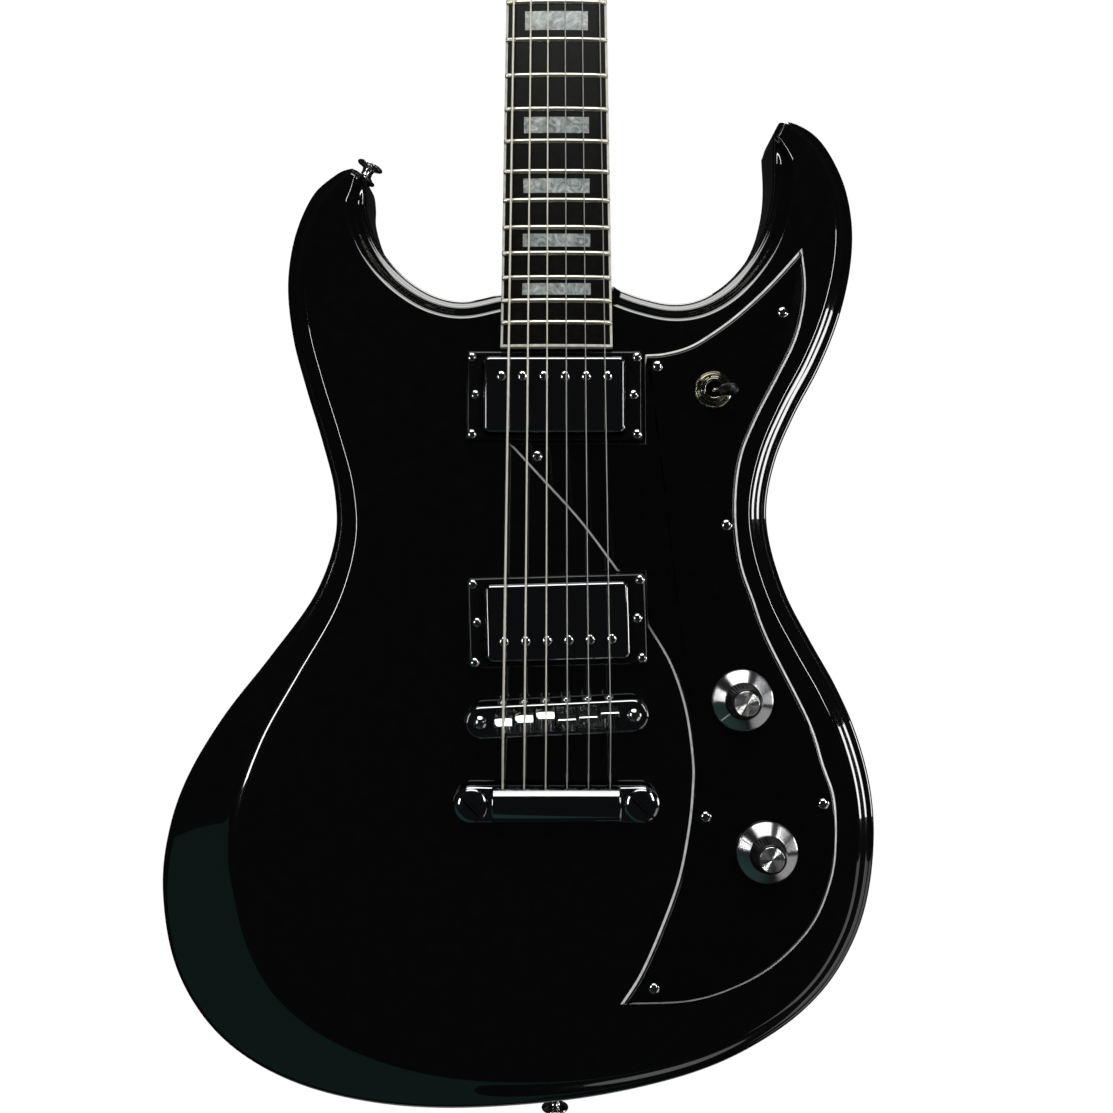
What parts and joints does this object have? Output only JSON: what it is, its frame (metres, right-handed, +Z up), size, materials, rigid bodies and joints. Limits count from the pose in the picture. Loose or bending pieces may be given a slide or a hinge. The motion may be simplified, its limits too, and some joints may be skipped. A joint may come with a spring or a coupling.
{
  "type": "electric guitar",
  "caption": "Solid-body electric guitar with an offset double-cutaway body, two covered pickups, a bridge with sliding saddles, a pickguard with knobs and a lever switch, and geared tuners.",
  "frame": {"origin": "midway between the prongs of a neck hanger, 14 mm above the front of the nut, where the neck flares into the headstock", "axes": "+Z up along the body and neck, the front faces -Y, and +X is the treble side"},
  "size_m": [0.3548, 0.0911, 1.0447],
  "materials": {
    "body_lacquer": "black lacquer polished to a mirror gloss",
    "neck_lacquer": "black gloss lacquer",
    "fingerboard": "oiled dark hardwood with fine open grain",
    "nut": "polished off-white",
    "pickguard_plastic": "three-ply black, white, black with a bevelled edge",
    "pickup_ring_plastic": "polished black",
    "dark_chrome": "smoked black-nickel mirror",
    "bright_chrome": "bright nickel plate",
    "knob_aluminium": "turned and satin, with a black grip",
    "toggle_plastic": "satin black tip on a plated lever",
    "coil_block": "bobbins and base, hidden below the cover",
    "hidden_steel": "plain",
    "string_wire": "round-wound on the three bass strings, plain on the others"
  },
  "bodies": {
    "guitar": {"body": "body_lacquer", "neck": "neck_lacquer", "fingerboard": "fingerboard", "nut": "nut", "truss_rod": "hidden_steel", "truss_rod_cover": "pickup_ring_plastic", "string_low_e": "string_wire", "string_a": "string_wire", "string_d": "string_wire", "string_g": "string_wire", "string_b": "string_wire", "string_high_e": "string_wire", "bridge_body": "dark_chrome", "bridge_post_bass": "dark_chrome", "bridge_post_treble": "dark_chrome", "tailpiece": "dark_chrome", "tail_stud_bass": "dark_chrome", "tail_stud_treble": "dark_chrome", "neck_pickup_ring": "pickup_ring_plastic", "bridge_pickup_ring": "pickup_ring_plastic", "pickguard": "pickguard_plastic", "volume_pot": "hidden_steel", "tone_pot": "hidden_steel", "toggle_switch": "bright_chrome", "jack_plate": "bright_chrome", "output_jack": "bright_chrome", "strap_button_horn": "bright_chrome", "strap_button_end": "bright_chrome", "tuner_case_low_e": "dark_chrome", "tuner_case_a": "dark_chrome", "tuner_case_d": "dark_chrome", "tuner_case_g": "dark_chrome", "tuner_case_b": "dark_chrome", "tuner_case_high_e": "dark_chrome"},
    "volume_knob": {"volume_knob": "knob_aluminium"},
    "tone_knob": {"tone_knob": "knob_aluminium"},
    "toggle_lever": {"toggle_lever": "toggle_plastic"},
    "neck_pickup": {"neck_pickup_cover": "dark_chrome", "neck_pickup_coils": "coil_block"},
    "bridge_pickup": {"bridge_pickup_cover": "dark_chrome", "bridge_pickup_coils": "coil_block"},
    "saddle_low_e": {"saddle_low_e": "bright_chrome"},
    "post_low_e": {"tuner_post_low_e": "bright_chrome"},
    "button_low_e": {"tuner_button_low_e": "dark_chrome"},
    "saddle_a": {"saddle_a": "bright_chrome"},
    "post_a": {"tuner_post_a": "bright_chrome"},
    "button_a": {"tuner_button_a": "dark_chrome"},
    "saddle_d": {"saddle_d": "bright_chrome"},
    "post_d": {"tuner_post_d": "bright_chrome"},
    "button_d": {"tuner_button_d": "dark_chrome"},
    "saddle_g": {"saddle_g": "bright_chrome"},
    "post_g": {"tuner_post_g": "bright_chrome"},
    "button_g": {"tuner_button_g": "dark_chrome"},
    "saddle_b": {"saddle_b": "bright_chrome"},
    "post_b": {"tuner_post_b": "bright_chrome"},
    "button_b": {"tuner_button_b": "dark_chrome"},
    "saddle_high_e": {"saddle_high_e": "bright_chrome"},
    "post_high_e": {"tuner_post_high_e": "bright_chrome"},
    "button_high_e": {"tuner_button_high_e": "dark_chrome"}
  },
  "joints": [
    {"name": "volume_turn", "type": "hinge", "parent": "guitar", "child": "volume_knob", "pos_m": [0.0908, -0.03, -0.6644], "axis": [0, -1, 0], "range_deg": [-150, 150]},
    {"name": "tone_turn", "type": "hinge", "parent": "guitar", "child": "tone_knob", "pos_m": [0.1023, -0.03, -0.7381], "axis": [0, -1, 0], "range_deg": [-150, 150]},
    {"name": "toggle_throw", "type": "hinge", "parent": "guitar", "child": "toggle_lever", "pos_m": [0.0772, -0.0224, -0.5122], "axis": [0.2756, 0, 0.9613], "range_deg": [-48, 0]},
    {"name": "neck_pickup_height", "type": "slide", "parent": "guitar", "child": "neck_pickup", "axis": [0, -1, 0], "range_m": [-0.003, 0.001]},
    {"name": "bridge_pickup_height", "type": "slide", "parent": "guitar", "child": "bridge_pickup", "axis": [0, -1, 0], "range_m": [-0.003, 0.002]},
    {"name": "saddle_low_e_slide", "type": "slide", "parent": "guitar", "child": "saddle_low_e", "axis": [-0.0471, 0, 0.9989], "range_m": [-0.0036, 0.0028]},
    {"name": "saddle_a_slide", "type": "slide", "parent": "guitar", "child": "saddle_a", "axis": [-0.0471, 0, 0.9989], "range_m": [-0.0049, 0.0015]},
    {"name": "saddle_d_slide", "type": "slide", "parent": "guitar", "child": "saddle_d", "axis": [-0.0471, 0, 0.9989], "range_m": [-0.0062, 0.0002]},
    {"name": "saddle_g_slide", "type": "slide", "parent": "guitar", "child": "saddle_g", "axis": [-0.0471, 0, 0.9989], "range_m": [-0.003, 0.0034]},
    {"name": "saddle_b_slide", "type": "slide", "parent": "guitar", "child": "saddle_b", "axis": [-0.0471, 0, 0.9989], "range_m": [-0.0037, 0.0027]},
    {"name": "saddle_high_e_slide", "type": "slide", "parent": "guitar", "child": "saddle_high_e", "axis": [-0.0471, 0, 0.9989], "range_m": [-0.0052, 0.0012]},
    {"name": "tuner_low_e_turn", "type": "hinge", "parent": "guitar", "child": "button_low_e", "pos_m": [-0.0285, 0.0227, 0.02215], "axis": [-1, 0, 0], "continuous": true},
    {"name": "post_low_e_turn", "type": "hinge", "parent": "guitar", "child": "post_low_e", "pos_m": [-0.0285, 0.00341, 0.03381], "axis": [0, -0.9781, 0.2079], "continuous": true},
    {"name": "tuner_a_turn", "type": "hinge", "parent": "guitar", "child": "button_a", "pos_m": [-0.027, 0.03102, 0.06127], "axis": [-1, 0, 0], "continuous": true},
    {"name": "post_a_turn", "type": "hinge", "parent": "guitar", "child": "post_a", "pos_m": [-0.027, 0.01172, 0.07294], "axis": [0, -0.9781, 0.2079], "continuous": true},
    {"name": "tuner_d_turn", "type": "hinge", "parent": "guitar", "child": "button_d", "pos_m": [-0.0255, 0.03934, 0.1004], "axis": [-1, 0, 0], "continuous": true},
    {"name": "post_d_turn", "type": "hinge", "parent": "guitar", "child": "post_d", "pos_m": [-0.0255, 0.02004, 0.11206], "axis": [0, -0.9781, 0.2079], "continuous": true},
    {"name": "tuner_g_turn", "type": "hinge", "parent": "guitar", "child": "button_g", "pos_m": [0.0255, 0.04241, 0.11487], "axis": [1, 0, 0], "continuous": true},
    {"name": "post_g_turn", "type": "hinge", "parent": "guitar", "child": "post_g", "pos_m": [0.0255, 0.02004, 0.11206], "axis": [0, -0.9781, 0.2079], "continuous": true},
    {"name": "tuner_b_turn", "type": "hinge", "parent": "guitar", "child": "button_b", "pos_m": [0.027, 0.0341, 0.07575], "axis": [1, 0, 0], "continuous": true},
    {"name": "post_b_turn", "type": "hinge", "parent": "guitar", "child": "post_b", "pos_m": [0.027, 0.01172, 0.07294], "axis": [0, -0.9781, 0.2079], "continuous": true},
    {"name": "tuner_high_e_turn", "type": "hinge", "parent": "guitar", "child": "button_high_e", "pos_m": [0.0285, 0.02578, 0.03662], "axis": [1, 0, 0], "continuous": true},
    {"name": "post_high_e_turn", "type": "hinge", "parent": "guitar", "child": "post_high_e", "pos_m": [0.0285, 0.00341, 0.03381], "axis": [0, -0.9781, 0.2079], "continuous": true}
  ],
  "couplings": [
    {"joint": "post_low_e_turn", "follows": "tuner_low_e_turn", "ratio": 0.066667},
    {"joint": "post_a_turn", "follows": "tuner_a_turn", "ratio": 0.066667},
    {"joint": "post_d_turn", "follows": "tuner_d_turn", "ratio": 0.066667},
    {"joint": "post_g_turn", "follows": "tuner_g_turn", "ratio": 0.066667},
    {"joint": "post_b_turn", "follows": "tuner_b_turn", "ratio": 0.066667},
    {"joint": "post_high_e_turn", "follows": "tuner_high_e_turn", "ratio": 0.066667}
  ]
}
